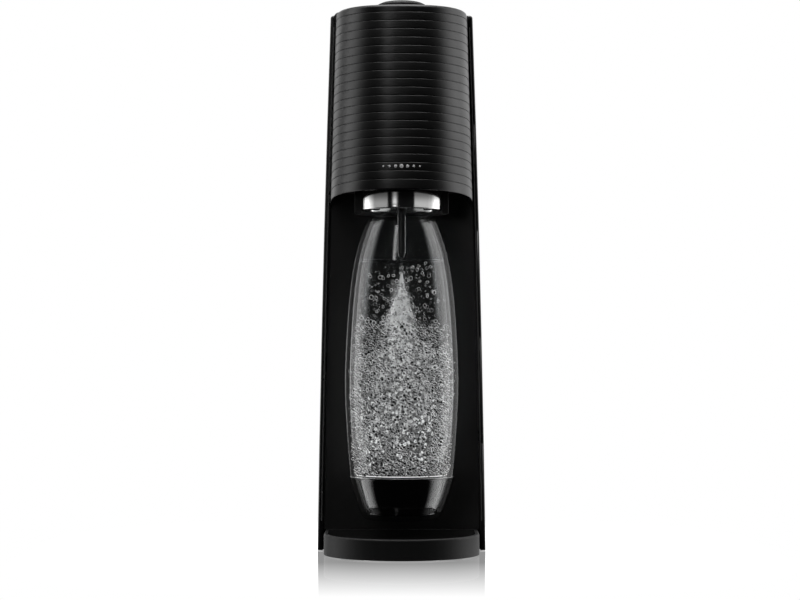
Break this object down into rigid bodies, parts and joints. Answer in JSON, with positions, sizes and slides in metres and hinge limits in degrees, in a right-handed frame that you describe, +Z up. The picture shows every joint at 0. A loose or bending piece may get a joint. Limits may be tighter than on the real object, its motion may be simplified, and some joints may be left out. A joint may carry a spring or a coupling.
{
  "type": "soda carbonator",
  "caption": "Upright soda carbonator: black tower with a hidden gas cylinder, ribbed head with a top button, and a clear bottle in a tilting holder.",
  "frame": {"origin": "on the floor, under the middle of the footprint", "axes": "+Z up, -Y towards the user, +X to the user's right"},
  "size_m": [0.134, 0.19, 0.431],
  "materials": {
    "satin_black": "satin moulded plastic",
    "gloss_black": "polished moulded plastic",
    "cup_black": "polished",
    "bright_ring": "brushed",
    "clear_plastic": "clear blown plastic",
    "inner_black": "fine grain",
    "nozzle_grey": "smooth",
    "rubber_black": "matte",
    "hose_rubber": "satin",
    "zinc_steel": "zinc plated",
    "cylinder_aluminium": "brushed, lacquered",
    "valve_brass": "turned",
    "grip_pink": "satin",
    "lever_grey": "glass-filled plastic"
  },
  "bodies": {
    "root": {"base_foot": "satin_black", "foot_deck": "gloss_black", "base_plate": "inner_black", "rubber_feet": "rubber_black", "base_screws": "zinc_steel", "recess_panel": "gloss_black", "side_panel_left": "satin_black", "side_panel_right": "satin_black", "tower_cap": "satin_black", "head_cover": "satin_black", "head_floor": "inner_black", "button_bezel": "gloss_black", "button_guide": "inner_black", "button_spring": "zinc_steel", "lever_pivot_pin": "zinc_steel", "chassis": "inner_black", "chassis_screws": "zinc_steel", "head_bracket": "inner_black", "head_screws": "zinc_steel", "quick_connect_block": "lever_grey", "connector_seal": "rubber_black", "handle_pivot_pins": "zinc_steel", "cylinder_cradle": "inner_black", "inlet_fitting": "valve_brass", "gas_hose": "hose_rubber", "swivel_elbow": "valve_brass", "hose_clamps": "zinc_steel", "tilt_pivot_pins": "zinc_steel"},
    "button": {"carbonating_button": "gloss_black", "button_stem": "lever_grey"},
    "lever": {"actuator_lever": "lever_grey", "valve_adjust_screw": "zinc_steel"},
    "gas_bottle": {"gas_cylinder": "cylinder_aluminium", "cylinder_valve": "valve_brass", "cylinder_collar": "grip_pink"},
    "pin": {"valve_pin": "zinc_steel"},
    "handle": {"lock_handle": "grip_pink"},
    "rear": {"rear_cover": "satin_black"},
    "holder": {"carbonation_head": "inner_black", "holder_ring": "bright_ring", "holder_collar": "inner_black", "nozzle_tube": "nozzle_grey", "nozzle_tip": "nozzle_grey", "bottle_gasket": "rubber_black", "safety_valve_body": "valve_brass", "relief_spring": "zinc_steel"},
    "poppet": {"relief_poppet": "valve_brass"},
    "left_jaw": {"jaw_left": "inner_black"},
    "right_jaw": {"jaw_right": "inner_black"},
    "bottle": {"bottle_body": "clear_plastic", "bottle_base_cup": "cup_black"}
  },
  "joints": [
    {"name": "button_press", "type": "slide", "parent": "root", "child": "button", "axis": [0, 0, -1], "range_m": [0, 0.006], "stiffness_N_per_m": 1200, "springref_m": -0.003, "deforming": ["button_spring"]},
    {"name": "lever_rock", "type": "hinge", "parent": "root", "child": "lever", "pos_m": [0, 0.074, 0.4025], "axis": [1, 0, 0], "range_deg": [0, 3]},
    {"name": "cylinder_seat", "type": "slide", "parent": "root", "child": "gas_bottle", "axis": [0, 0, -1], "range_m": [0, 0.004]},
    {"name": "valve_pin_press", "type": "slide", "parent": "gas_bottle", "child": "pin", "axis": [0, 0, -1], "range_m": [0, 0.0016]},
    {"name": "lock_handle_lift", "type": "hinge", "parent": "root", "child": "handle", "pos_m": [0, 0.05, 0.384], "axis": [1, 0, 0], "range_deg": [0, 62]},
    {"name": "rear_cover_off", "type": "slide", "parent": "root", "child": "rear", "axis": [0, 1, 0], "range_m": [0, 0.09]},
    {"name": "holder_tilt", "type": "hinge", "parent": "root", "child": "holder", "pos_m": [0, -0.043, 0.305], "axis": [-1, 0, 0], "range_deg": [0, 20]},
    {"name": "relief_lift", "type": "slide", "parent": "holder", "child": "poppet", "axis": [0, 0, 1], "range_m": [0, 0.0015], "stiffness_N_per_m": 800, "springref_m": -0.002, "deforming": ["relief_spring"]},
    {"name": "bottle_release", "type": "slide", "parent": "holder", "child": "bottle", "axis": [0, 0, -1], "range_m": [0, 0.008]},
    {"name": "jaw_left_open", "type": "slide", "parent": "holder", "child": "left_jaw", "axis": [-1, 0, 0], "range_m": [0, 0.003]},
    {"name": "jaw_right_open", "type": "slide", "parent": "holder", "child": "right_jaw", "axis": [1, 0, 0], "range_m": [0, 0.003]}
  ],
  "couplings": [
    {"joint": "lever_rock", "follows": "button_press", "rad_per_m": 8.547},
    {"joint": "valve_pin_press", "follows": "button_press", "ratio": 0.23932},
    {"joint": "lock_handle_lift", "follows": "cylinder_seat", "rad_per_m": 270.5},
    {"joint": "jaw_left_open", "follows": "bottle_release", "ratio": 0.375},
    {"joint": "jaw_right_open", "follows": "bottle_release", "ratio": 0.375}
  ]
}
